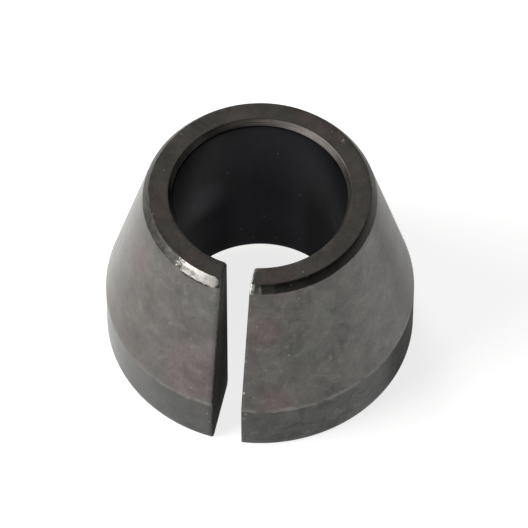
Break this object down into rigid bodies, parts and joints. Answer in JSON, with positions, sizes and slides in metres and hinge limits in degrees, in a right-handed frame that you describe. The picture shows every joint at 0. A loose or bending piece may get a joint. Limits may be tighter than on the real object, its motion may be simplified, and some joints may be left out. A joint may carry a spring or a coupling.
{
  "type": "router collet",
  "caption": "Split tapered sleeve that grips a straight tool shank: a cone with a straight band at its large end, a chamfered bore and one radial slot.",
  "frame": {"origin": "on the bore axis in the large end's face, which it stands on", "axes": "+Z along the bore axis from the large end to the small end, -Y through the middle of the slot, +X across the slot"},
  "size_m": [0.023, 0.0229, 0.016],
  "materials": {
    "black_steel": "black oxide, matt, handled and worn bright on one edge"
  },
  "bodies": {
    "root": {"collet": "black_steel"}
  },
  "joints": []
}
